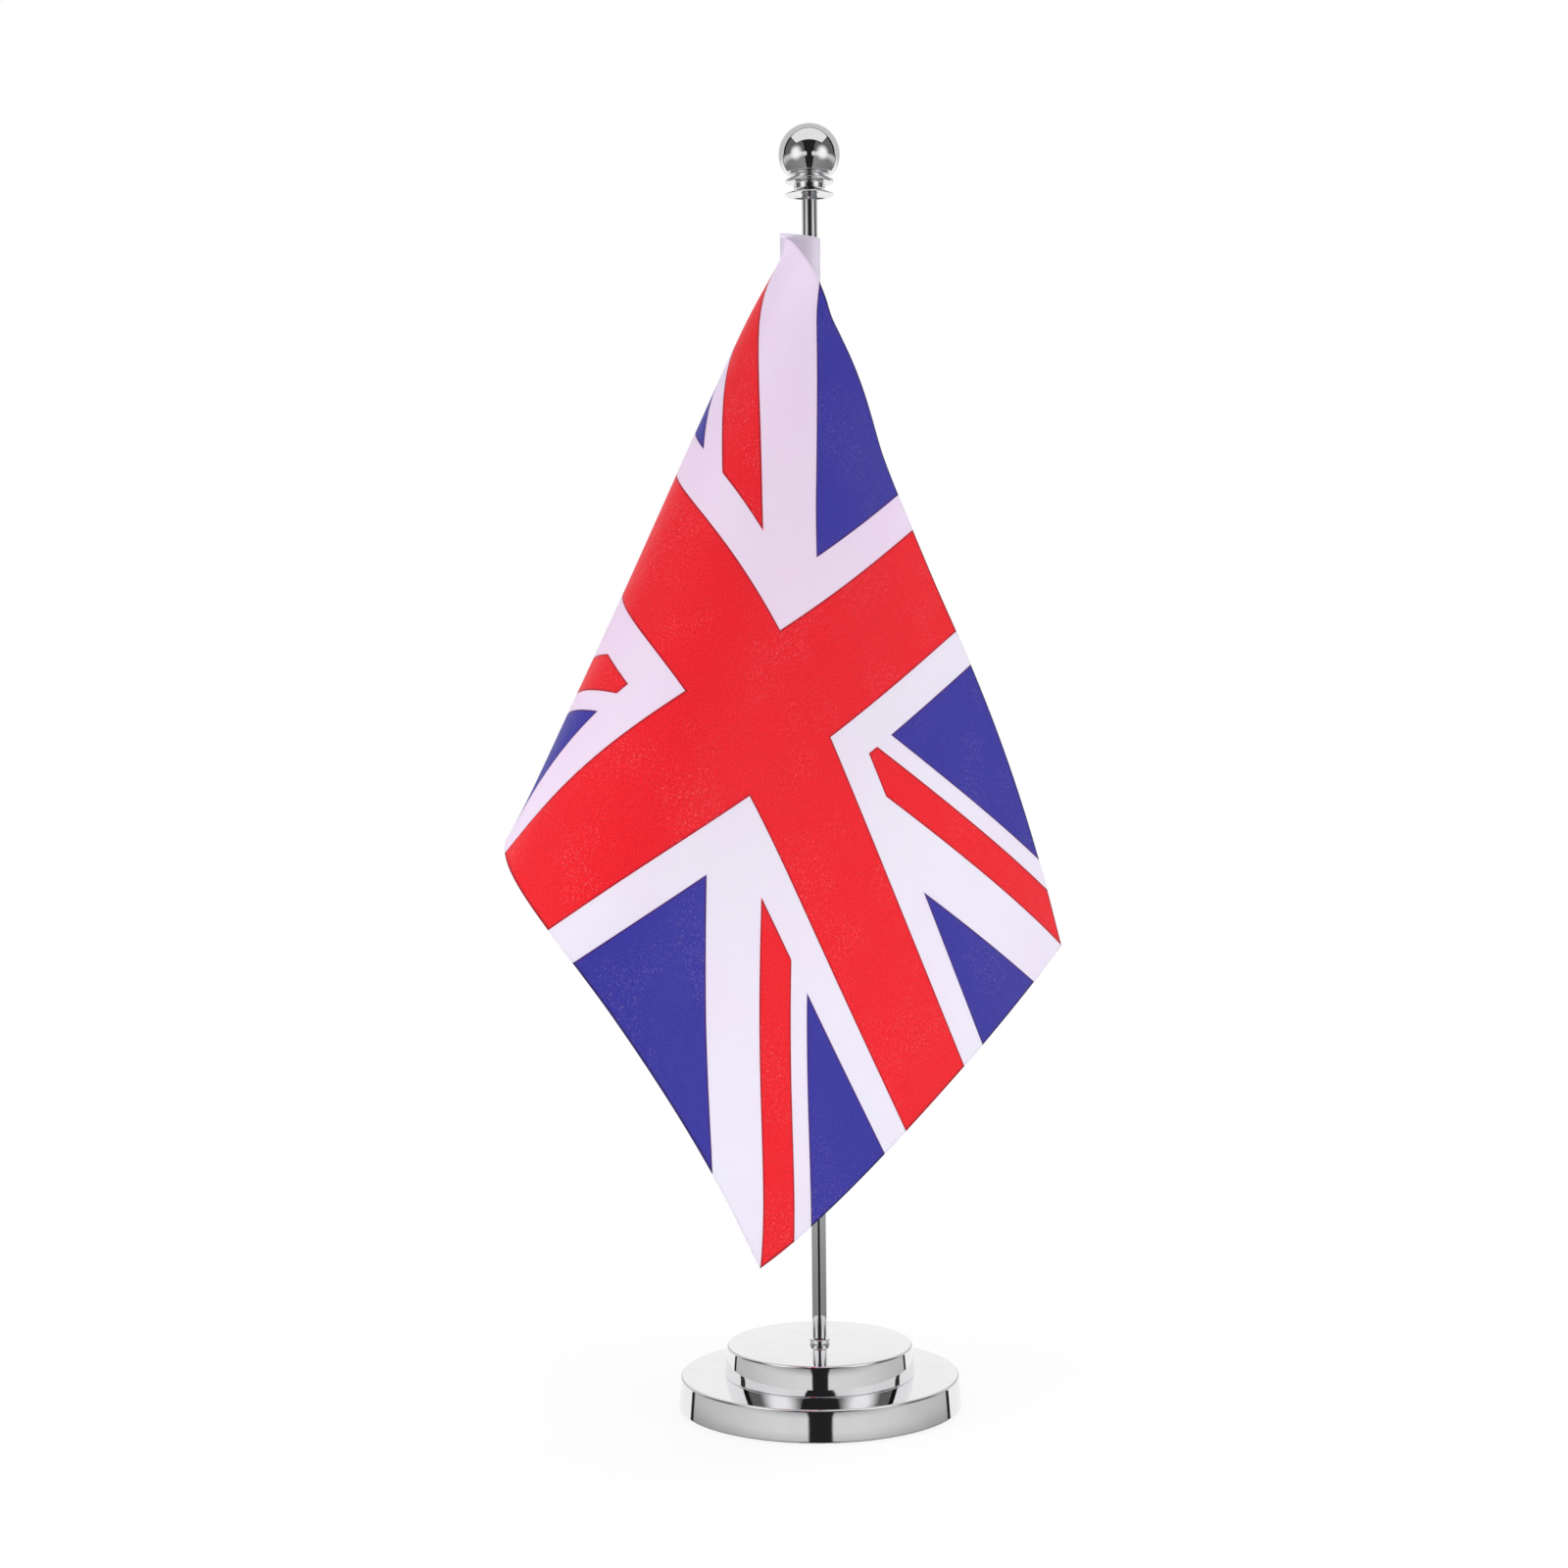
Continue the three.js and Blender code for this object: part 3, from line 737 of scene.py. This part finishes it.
def add_ball(chrome):
    """The ball, cut flat at its seat and bored from below for the stud."""
    radius, seat, top = turned_size("finial_ball")
    centre = top - radius
    bore_end = top - BALL_BORE_DEPTH
    seat_angle = -math.asin((centre - seat) / radius)
    outline = [(0, bore_end), (FINIAL_BORE, bore_end), (FINIAL_BORE, seat)]
    for step in range(BALL_STEPS):
        angle = seat_angle + (math.pi / 2 - seat_angle) * step / BALL_STEPS
        outline.append((radius * math.cos(angle), centre + radius * math.sin(angle)))
    outline.append((0, top))
    mesh = revolve("ball", rounded(outline, {3: 0.12}), BALL_SEGMENTS)
    finish_piece("ball", mesh, chrome, "finial", "finial_ball", 50)


RING_ROUND = 0.7


def add_stop_ring(rubber):
    outer, bottom, top = turned_size("flag_stop_ring")
    inner = turned_size("pole")[0] + RUNNING_CLEARANCE
    outline = [(inner, bottom), (outer, bottom), (outer, top), (inner, top)]
    mesh = revolve("stop_ring", rounded(outline, {1: RING_ROUND, 2: RING_ROUND}), COARSE)
    finish_piece("stop_ring", mesh, rubber, "stop_ring", "flag_stop_ring", 50)


# ---------------------------------------------------------------- flag

FLAG_WIDTH = 210.0
FLAG_HEIGHT = 140.0
CLOTH_THICKNESS = 0.2
CELLS_ACROSS = 42
CELLS_UP = 28
# Ten places where the cloth is led into its folds: shares of its width and height, then the
# offset in millimetres (right, back, up) from the hoist at the same height. They weren't
# chosen by hand: another program fitted them to the photo and they were rounded from that.
LED_PLACES = (
    ((1 / 6, 0), (-34, -9, 0)),  # the belly beside the sleeve
    ((1 / 6, 1), (12, -19, -22)),  # the top edge, turning down
    ((1 / 3, 3 / 4), (4, -34, -34)),
    ((1 / 3, 1), (24, -10, -53)),
    ((1 / 2, 1 / 4), (-31, -60, -28)),  # the fold down the left side
    ((1 / 2, 1), (37, 0, -84)),
    ((2 / 3, 0), (-39, -75, -39)),  # the bottom edge, coming forward
    ((2 / 3, 1 / 2), (10, -37, -77)),
    ((1, 0), (-6, -64, -99)),  # the fly's bottom corner
    ((1, 1), (71, 34, -177)),  # the fly's top corner, lowest of all
)
# How strongly the seam and the led places hold, and the cloth resists bending, where a thread
# along the fly or the hoist resists stretching with 1.
HOIST_HOLD = 50.0
PLACE_HOLD = 5.0
BENDING = 0.3
DIAGONAL_STRENGTH = 0.5
RELAX_STEPS = 300
FINER = 4


def cloth_links():
    """The threads of the cloth as springs: pairs of grid points, rest length, weight."""
    pairs, lengths, weights = [], [], []
    step = (FLAG_WIDTH / CELLS_ACROSS, FLAG_HEIGHT / CELLS_UP)
    for i in range(CELLS_ACROSS + 1):
        for j in range(CELLS_UP + 1):
            for di, dj in ((1, 0), (0, 1), (1, 1), (1, -1)):
                a, b = i + di, j + dj
                if a <= CELLS_ACROSS and 0 <= b <= CELLS_UP:
                    pairs.append((grid_index(i, j), grid_index(a, b)))
                    lengths.append(math.hypot(di * step[0], dj * step[1]))
                    weights.append(DIAGONAL_STRENGTH if di and dj else 1.0)
    return np.array(pairs), np.array(lengths), np.array(weights)


def grid_index(i, j):
    return i * (CELLS_UP + 1) + j


def bending_matrix(count):
    """Resists any change of direction from one thread segment to the next."""
    matrix = np.zeros((count, count))
    weights = (1, -2, 1)
    for i in range(CELLS_ACROSS + 1):
        for j in range(CELLS_UP + 1):
            for di, dj, inside in ((1, 0, 0 < i < CELLS_ACROSS), (0, 1, 0 < j < CELLS_UP)):
                if inside:
                    line = [grid_index(i + k * di, j + k * dj) for k in (-1, 0, 1)]
                    matrix[np.ix_(line, line)] += BENDING * np.outer(weights, weights)
    return matrix


def stretch_matrix(count, a, b, weights):
    """Resists any change in the distance between linked points."""
    matrix = np.zeros((count, count))
    np.add.at(matrix, (a, a), weights)
    np.add.at(matrix, (b, b), weights)
    np.add.at(matrix, (a, b), -weights)
    np.add.at(matrix, (b, a), -weights)
    return matrix


def held_places(count, seam_x, seam_y, sleeve_edge, hoist_bottom):
    """How strongly each grid point is held, and where: the seam, then the led places."""
    hold = np.zeros(count)
    target = np.zeros((count, 3))
    for j in range(CELLS_UP + 1):
        height = hoist_bottom + FLAG_HEIGHT * j / CELLS_UP
        hold[grid_index(0, j)] = HOIST_HOLD
        target[grid_index(0, j)] = (seam_x, seam_y, height)
    for (across, above), offset in LED_PLACES:
        j = round(above * CELLS_UP)
        index = grid_index(round(across * CELLS_ACROSS), j)
        hoist = np.array((sleeve_edge, 0, target[grid_index(0, j)][2]))
        hold[index] = PLACE_HOLD
        target[index] = hoist + np.array(offset)
    return hold, target


def hang_cloth(seam_x, seam_y, sleeve_edge, hoist_bottom):
    """Relaxes the flat cut into its hanging shape, keeping every thread's length.

    Each step gives every thread its own length where it lies, and then moves all points to
    agree with the threads, the bending and the held places as well as they can.
    """
    count = (CELLS_ACROSS + 1) * (CELLS_UP + 1)
    hold, target = held_places(count, seam_x, seam_y, sleeve_edge, hoist_bottom)
    pairs, lengths, weights = cloth_links()
    a, b = pairs[:, 0], pairs[:, 1]
    bending = bending_matrix(count)
    held = np.diag(hold)
    pull = hold[:, None] * target
    points = np.linalg.solve(bending + held + 1e-6 * np.eye(count), pull)
    inverse = np.linalg.inv(stretch_matrix(count, a, b, weights) + bending + held)
    for _ in range(RELAX_STEPS):
        thread = points[a] - points[b]
        reach = np.linalg.norm(thread, axis=1)
        wanted = (weights * lengths / reach)[:, None] * thread
        right = pull.copy()
        np.add.at(right, a, wanted)
        np.add.at(right, b, -wanted)
        points = inverse @ right
    return points.reshape(CELLS_ACROSS + 1, CELLS_UP + 1, 3)


def refine(points, times):
    """Smooth curves through the grid points, along both threads, for a finer grid."""
    for axis in (0, 1):
        values = np.moveaxis(points, axis, 0)
        first = 2 * values[:1] - values[1:2]
        last = 2 * values[-1:] - values[-2:-1]
        padded = np.concatenate((first, values, last))
        fine = []
        for cell in range(len(values) - 1):
            p0, p1, p2, p3 = padded[cell : cell + 4]
            for step in range(times):
                t = step / times
                fine.append(
                    p1
                    + 0.5 * t * (p2 - p0)
                    + t**2 * (p0 - 2.5 * p1 + 2 * p2 - 0.5 * p3)
                    + t**3 * (1.5 * (p1 - p2) + 0.5 * (p3 - p0))
                )
        fine.append(values[-1])
        points = np.moveaxis(np.array(fine), 0, axis)
    return points


def sheet_mesh(name, points, flat, thickness):
    """A thin closed cloth: the grid of points on both faces, joined along its cut edge."""
    columns, rows = points.shape[:2]
    across = np.gradient(points, axis=0)
    up = np.gradient(points, axis=1)
    normal = np.cross(across, up)
    normal /= np.linalg.norm(normal, axis=2)[..., None]
    layers = [points + normal * thickness / 2, points - normal * thickness / 2]
    vertices = np.concatenate([layer.reshape(-1, 3) for layer in layers]) * MM
    count = columns * rows

    def at(i, j, layer):
        return layer * count + i * rows + j

    faces = []
    for i in range(columns - 1):
        for j in range(rows - 1):
            faces.append((at(i, j, 0), at(i + 1, j, 0), at(i + 1, j + 1, 0), at(i, j + 1, 0)))
            faces.append((at(i, j, 1), at(i, j + 1, 1), at(i + 1, j + 1, 1), at(i + 1, j, 1)))
    for i in range(columns - 1):
        for j, turn in ((0, 1), (rows - 1, -1)):
            rim = (at(i, j, 0), at(i, j, 1), at(i + 1, j, 1), at(i + 1, j, 0))
            faces.append(rim[::turn])
    for j in range(rows - 1):
        for i, turn in ((0, -1), (columns - 1, 1)):
            rim = (at(i, j, 0), at(i, j, 1), at(i, j + 1, 1), at(i, j + 1, 0))
            faces.append(rim[::turn])
    mesh = bpy.data.meshes.new(name)
    mesh.from_pydata(vertices.tolist(), [], faces)
    attribute = mesh.attributes.new("flat_mm", "FLOAT_VECTOR", "POINT")
    values = np.concatenate([flat.reshape(-1, 2)] * 2)
    values = np.column_stack((values, np.zeros(len(values))))
    attribute.data.foreach_set("vector", values.astype(np.float32).ravel())
    return mesh


def flat_grid(columns, rows):
    along, up = np.meshgrid(
        np.linspace(0, FLAG_WIDTH, columns),
        np.linspace(0, FLAG_HEIGHT, rows),
        indexing="ij",
    )
    return np.stack((along, up), axis=2)


# The hoist is sewn to the sleeve's front, this far in from its edge and proud of its middle.
HOIST_INSET = 1.0
HOIST_PROUD = 0.7


def add_flag(satin):
    sleeve_edge, _, sleeve_bottom = node_box("flag_sleeve")[0]
    seam = (sleeve_edge + HOIST_INSET, -HOIST_PROUD)
    points = refine(hang_cloth(*seam, sleeve_edge, sleeve_bottom), FINER)
    flat = flat_grid(*points.shape[:2])
    mesh = sheet_mesh("flag_cloth", points, flat, CLOTH_THICKNESS)
    piece = finish_piece("flag_cloth", mesh, satin, "flag", "flag_panel", 60)


SLEEVE_WALL = 0.25
SLEEVE_AROUND_POLE = 0.45
SLEEVE_COLUMNS = 61
SLEEVE_ROWS = 141
SEAM_HALF = 0.3
ROUND_SHARE = 0.42
# The sleeve's top edge rises toward the flag over its last tenth.
TOP_RISE = 1.4
TOP_FALL_PER_MM = 0.165
TOP_FROM_SHARE = 0.9


def sleeve_section(reach, radius, count):
    """The flattened loop round the pole: round over it, then drawn in to the seam."""
    points = []
    flank = (1 - ROUND_SHARE) / 2

    def on_flank(t):
        return SEAM_HALF + (radius - SEAM_HALF) * math.sin(t * math.pi / 2) ** 1.1

    for step in range(count):
        share = step / (count - 1)
        if share < flank:
            t = share / flank
            points.append((reach * (t - 1), -on_flank(t)))
        elif share > 1 - flank:
            t = (1 - share) / flank
            points.append((reach * (t - 1), on_flank(t)))
        else:
            angle = math.pi * ((share - flank) / ROUND_SHARE - 0.5)
            points.append((radius * math.cos(angle), radius * math.sin(angle)))
    return np.array(points)


def sleeve_points(section, reach, bottom, top):
    """The section carried up the pole, with slight creases, slack and a sloping top."""
    points = np.zeros((len(section), SLEEVE_ROWS, 3))
    for j in range(SLEEVE_ROWS):
        share = j / (SLEEVE_ROWS - 1)
        height = bottom + (top - bottom) * share
        crease = 0.14 * math.sin(height * 0.21) + 0.09 * math.sin(height * 0.53 + 1)
        slack = 1 + 0.035 * math.sin(height * 0.13 + 0.7)
        near_top = max(0.0, (share - TOP_FROM_SHARE) / (1 - TOP_FROM_SHARE))
        for i, (x, y) in enumerate(section):
            away = max(0.0, -x) / reach
            wave = crease * math.sin(math.pi * away) * (1 if y < 0 else 0.6)
            rise = (TOP_RISE - TOP_FALL_PER_MM * (x + reach)) * near_top
            points[i, j] = (x, y * slack + wave, height + rise)
    return points


def add_sleeve(satin, thread):
    low, high = node_box("flag_sleeve")
    reach, bottom, top = -low[0], low[2], high[2]
    radius = turned_size("pole")[0] + SLEEVE_AROUND_POLE
    section = sleeve_section(reach, radius, SLEEVE_COLUMNS)
    steps = np.linalg.norm(np.diff(section, axis=0), axis=1)
    around = np.concatenate(([0], np.cumsum(steps)))
    up = np.linspace(0, top - bottom, SLEEVE_ROWS)
    flat = np.stack(np.meshgrid(around, up, indexing="ij"), axis=2)
    points = sleeve_points(section, reach, bottom, top)
    mesh = sheet_mesh("sleeve_cloth", points, flat, SLEEVE_WALL)
    piece = finish_piece("sleeve_cloth", mesh, satin, "flag", "flag_sleeve", 60)
    add_stitches(reach, bottom, top, thread)


STITCH_LENGTH = 2.2
STITCH_GAP = 0.7
STITCH_RADIUS = 0.14
STITCH_STEPS = 8
STITCH_SEGMENTS = 8
STITCH_LIFT = 0.42
STITCH_HUMP = 0.18
SEAM_INSET = 1.6
SEAM_END = 2


def add_stitch(bm, x, side, start):
    """One stitch: a short thread that humps out of the cloth and thins at both ends."""
    rings = []
    for step in range(STITCH_STEPS + 1):
        share = step / STITCH_STEPS
        height = start + STITCH_LENGTH * share
        lift = STITCH_LIFT + STITCH_HUMP * math.sin(math.pi * share)
        wide = STITCH_RADIUS * (0.35 + 0.65 * math.sin(math.pi * (0.1 + 0.8 * share)))
        ring = []
        for column in range(STITCH_SEGMENTS):
            angle = TURN * column / STITCH_SEGMENTS
            place = (x + wide * math.cos(angle), side * lift + wide * math.sin(angle), height)
            ring.append(bm.verts.new(Vector(place) * MM))
        rings.append(ring)
    close_tube(bm, rings)


def add_stitches(reach, bottom, top, thread):
    """Lockstitch down the seam, on both of its faces."""
    bm = bmesh.new()
    pitch = STITCH_LENGTH + STITCH_GAP
    count = int((top - bottom - 2 * SEAM_END) / pitch)
    for side in (-1, 1):
        for stitch in range(count):
            add_stitch(bm, SEAM_INSET - reach, side, bottom + SEAM_END + stitch * pitch)
    mesh = mesh_from(bm, "sleeve_stitches")
    finish_piece("sleeve_stitches", mesh, thread, "flag", "sleeve_stitching", 0)


# ---------------------------------------------------------------- surroundings


FLOOR_RINGS = (40, 80, 160, 320, 640, 1500, 4000, 12000)
# Keeps the floor from lying in the same plane as the pad.
FLOOR_GAP = 0.05
TABLE_DARKER = (0.93, 0.93, 0.93, 1)
TABLE_LIGHTER = (0.97, 0.97, 0.97, 1)


def link_to_scene(name, mesh):
    thing = bpy.data.objects.new(name, mesh)
    bpy.context.scene.collection.objects.link(thing)
    return thing


def make_floor():
    """A pale table top that brightens into the white background away from the stand."""
    material, nodes, shader = new_material("pale_table")
    place = place_mm(nodes)
    grain = nodes.noise(place, 0.8, 4)
    nodes.put(shader.inputs["Base Color"], nodes.mix(grain, TABLE_DARKER, TABLE_LIGHTER))
    shader.inputs["Roughness"].default_value = 0.6
    glow = nodes.make("ShaderNodeEmission")
    glow.inputs["Color"].default_value = (1, 1, 1, 1)
    glow.inputs["Strength"].default_value = 1.0
    x, y, _ = nodes.split(place)
    distance = nodes.math("SQRT", nodes.add(nodes.times(x, x), nodes.times(y, y)))
    whiter = nodes.ramp(distance, 45, 260, 0.86, 1.0)
    nodes.show(nodes.blend(whiter, shader.outputs[0], glow.outputs[0]))
    mesh = flat_disc("floor", FLOOR_RINGS, 96)
    mesh.materials.append(material)
    floor = link_to_scene("floor", mesh)
    floor.location.z = -FLOOR_GAP * MM
    floor.visible_glossy = False


def degrees(nodes, angle):
    return nodes.times(angle, 360 / TURN)


# The softbox overhead: how high it stands toward the camera, and its half sizes there.
ROOF_HEIGHT = math.radians(74)
ROOF_HALF_ACROSS = 1.08
ROOF_HALF_BACK = 0.54
ROOF_GLOW = 0.9
PANEL_ABOVE_TABLE = 0.12
PANEL_LEAN = math.radians(12)
SLIT_DARK = 0.018
BEHIND_WHITE = 0.99


def tent_front(nodes, azimuth, height, bounced):
    """Cloth panels, light grey around table height and dark above, with a slit between them.

    The camera looks through the slit. bounced is 1 for light that chrome has already
    reflected once; it finds the low part of the upper panels lit by the table.
    """
    low = nodes.ramp(azimuth, 20, 125, 0.75, 0.54)
    low = nodes.times(low, nodes.ramp(height, -20, -8, 0.35, 1))
    raised = nodes.ramp(height, -4, 3)
    lit = nodes.times(nodes.times(bounced, nodes.ramp(height, 16, 12)), 0.72)
    upper = nodes.add(lit, PANEL_ABOVE_TABLE)
    panel = nodes.add(nodes.times(low, nodes.subtract(1, raised)), nodes.times(raised, upper))
    slit = nodes.add(nodes.ramp(height, -17, -14, 17, 9.5), nodes.ramp(height, -3, 8, 0, 9))
    slit = nodes.add(slit, nodes.ramp(height, 12, 45, 0, 12))
    inside = nodes.ramp(nodes.subtract(slit, azimuth), -1.2, 1.2)
    return nodes.add(nodes.times(panel, nodes.subtract(1, inside)), SLIT_DARK)


def tent_back(nodes, azimuth, height, bounced):
    """White cloth behind the stand, a little darker at the sides above table height."""
    side = nodes.greater(nodes.ramp(azimuth, 172, 165), nodes.ramp(height, 20, 26))
    direct = nodes.times(nodes.ramp(height, -3, 3), nodes.subtract(1, bounced))
    return nodes.subtract(BEHIND_WHITE, nodes.times(nodes.times(side, direct), 0.36))


def join_tent(nodes, front, back, toward_camera, height, z):
    """The front panels up to their edge, with a dark hem along it, and the back beyond."""
    toward = nodes.subtract(
        nodes.times(toward_camera, math.cos(PANEL_LEAN)),
        nodes.times(z, math.sin(PANEL_LEAN)),
    )
    beyond = nodes.subtract(nodes.ramp(height, -6, 8, -0.56, -0.375), toward)
    hem = nodes.add(beyond, nodes.ramp(height, -6, 8, 0.07, 0.15))
    hem = nodes.times(nodes.ramp(hem, -0.01, 0.01), nodes.ramp(beyond, 0.01, 0))
    front = nodes.times(front, nodes.subtract(1, nodes.times(hem, 0.96)))
    behind = nodes.ramp(beyond, -0.005, 0.005)
    return nodes.add(nodes.times(front, nodes.subtract(1, behind)), nodes.times(back, behind))


def with_roof(nodes, tent, y, z, across):
    """Adds the softbox overhead with its dark frame, as seen along its own axis."""
    facing = nodes.subtract(
        nodes.times(z, math.sin(ROOF_HEIGHT)),
        nodes.times(y, math.cos(ROOF_HEIGHT)),
    )
    back = nodes.add(nodes.times(y, math.sin(ROOF_HEIGHT)), nodes.times(z, math.cos(ROOF_HEIGHT)))
    facing = nodes.greater(facing, 0.01)
    side_reach = nodes.math("DIVIDE", across, facing)
    back_reach = nodes.math("ABSOLUTE", nodes.math("DIVIDE", back, facing))
    past_side = nodes.subtract(side_reach, ROOF_HALF_ACROSS)
    reach = nodes.greater(past_side, nodes.subtract(back_reach, ROOF_HALF_BACK))
    framed = nodes.times(tent, nodes.ramp(reach, 0.05, 0.08, 0.03, 1))
    return nodes.add(framed, nodes.times(nodes.ramp(reach, 0.01, -0.01), ROOF_GLOW))


def make_world():
    """A light tent round the stand. The camera itself sees plain white beyond the floor."""
    world = bpy.data.worlds.new("light_tent")
    world.use_nodes = True
    bpy.context.scene.world = world
    nodes = Nodes(world.node_tree)
    background = world.node_tree.nodes["Background"]
    coordinates = nodes.make("ShaderNodeTexCoord")
    x, y, z = nodes.split(coordinates.outputs["Generated"])
    toward_camera = nodes.times(y, -1)
    across = nodes.math("ABSOLUTE", x)
    azimuth = degrees(nodes, nodes.math("ARCTAN2", across, toward_camera))
    height = degrees(nodes, nodes.math("ARCSINE", z))
    ray = nodes.make("ShaderNodeLightPath")
    bounced = nodes.ramp(ray.outputs["Glossy Depth"], 1.4, 1.6)
    front = tent_front(nodes, azimuth, height, bounced)
    back = tent_back(nodes, azimuth, height, bounced)
    tent = join_tent(nodes, front, back, toward_camera, height, z)
    tent = with_roof(nodes, tent, y, z, across)
    level = nodes.greater(tent, ray.outputs["Is Camera Ray"])
    nodes.put(background.inputs["Color"], nodes.join(level, level, level))
    background.inputs["Strength"].default_value = 1.0


def add_card(name, bearing_degrees, reach, height, radius, level):
    """A glowing round card that fades toward its edge; only the chrome sees it."""
    material, nodes, _ = new_material(name)
    from_middle = nodes.make("ShaderNodeVectorMath", operation="LENGTH")
    nodes.put(from_middle.inputs[0], place_mm(nodes))
    share = nodes.ramp(from_middle.outputs["Value"], radius, radius * 0.2)
    glow = nodes.make("ShaderNodeEmission")
    glow.inputs["Strength"].default_value = level
    clear = nodes.make("ShaderNodeBsdfTransparent")
    nodes.show(nodes.blend(share, clear.outputs[0], glow.outputs[0]))
    mesh = flat_disc(name, (radius,), 48)
    mesh.materials.append(material)
    card = link_to_scene(name, mesh)
    bearing = math.radians(bearing_degrees)
    card.location = Vector((reach * math.sin(bearing), -reach * math.cos(bearing), height)) * MM
    facing = Vector((-math.sin(bearing), math.cos(bearing), 0))
    card.rotation_euler = facing.to_track_quat("Z", "Y").to_euler()
    card.visible_camera = False
    card.visible_diffuse = False
    card.visible_transmission = False
    card.visible_shadow = False


AIM = (0, 0, 130)


def add_lamp(name, place, side, power):
    """A square softbox aimed at the flag's middle; the chrome doesn't see it."""
    data = bpy.data.lights.new(name, "AREA")
    data.shape = "RECTANGLE"
    data.size = data.size_y = side * MM
    data.energy = power
    lamp = link_to_scene(name, data)
    lamp.location = Vector(place) * MM
    direction = Vector(AIM) * MM - lamp.location
    lamp.rotation_euler = direction.to_track_quat("-Z", "Y").to_euler()
    lamp.visible_glossy = False


CARD_BEARING = 51
CARD_REACH = 560
CARD_HEIGHT = 300
CARD_RADIUS = 320
CARD_LEVEL = 1.1


def add_lamps():
    add_lamp("left_softbox", (-500, -290, 90), 320, 3.6)
    add_lamp("right_softbox", (420, -400, 90), 320, 3.3)
    add_lamp("overhead", (0, -60, 900), 700, 3.0)
    for name, bearing in (("left_card", -CARD_BEARING), ("right_card", CARD_BEARING)):
        add_card(name, bearing, CARD_REACH, CARD_HEIGHT, CARD_RADIUS, CARD_LEVEL)


# ---------------------------------------------------------------- the scene

bpy.context.scene.view_settings.view_transform = "Standard"
make_camera()
make_world()
add_lamps()
make_floor()

base_chrome = make_chrome("base_chrome")
pole_chrome = make_chrome("pole_chrome", brushed_along_z=True)
zinc = make_zinc()
iron = make_cast_iron()
pad_rubber = make_rubber("foam_rubber", PAD_BLACK, pitted=True)
ring_rubber = make_rubber("moulded_rubber", RING_BLACK, pitted=False)
flag_satin = make_satin("printed_satin", FLAG_WIDTH, FLAG_HEIGHT, printed=True)
white_satin = make_satin("white_satin", FLAG_WIDTH, FLAG_HEIGHT, printed=False)
thread = make_thread()

add_cover("base_lower_cover", "lower_cover_shell", base_chrome)
lower_top = turned_size("base_lower_cover")[2]
add_cover("base_upper_cover", "upper_cover_shell", base_chrome, rests_at=lower_top)
add_bush(base_chrome)
add_pole(pole_chrome)
add_stud("lower_stud", zinc)
add_stud("upper_stud", zinc)
add_bell(base_chrome)
add_collar(base_chrome)
add_ball(base_chrome)
add_stop_ring(ring_rubber)
add_sleeve(white_satin, thread)
add_flag(flag_satin)

CARRIED_OVER = {
    "lower_ballast": iron,
    "upper_ballast": iron,
    "non_slip_pad": pad_rubber,
    "clamp_nut": zinc,
    "spring_washer": zinc,
    "flat_washer": zinc,
}
for node, material in CARRIED_OVER.items():
    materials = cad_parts[node].data.materials
    materials.clear()
    materials.append(material)
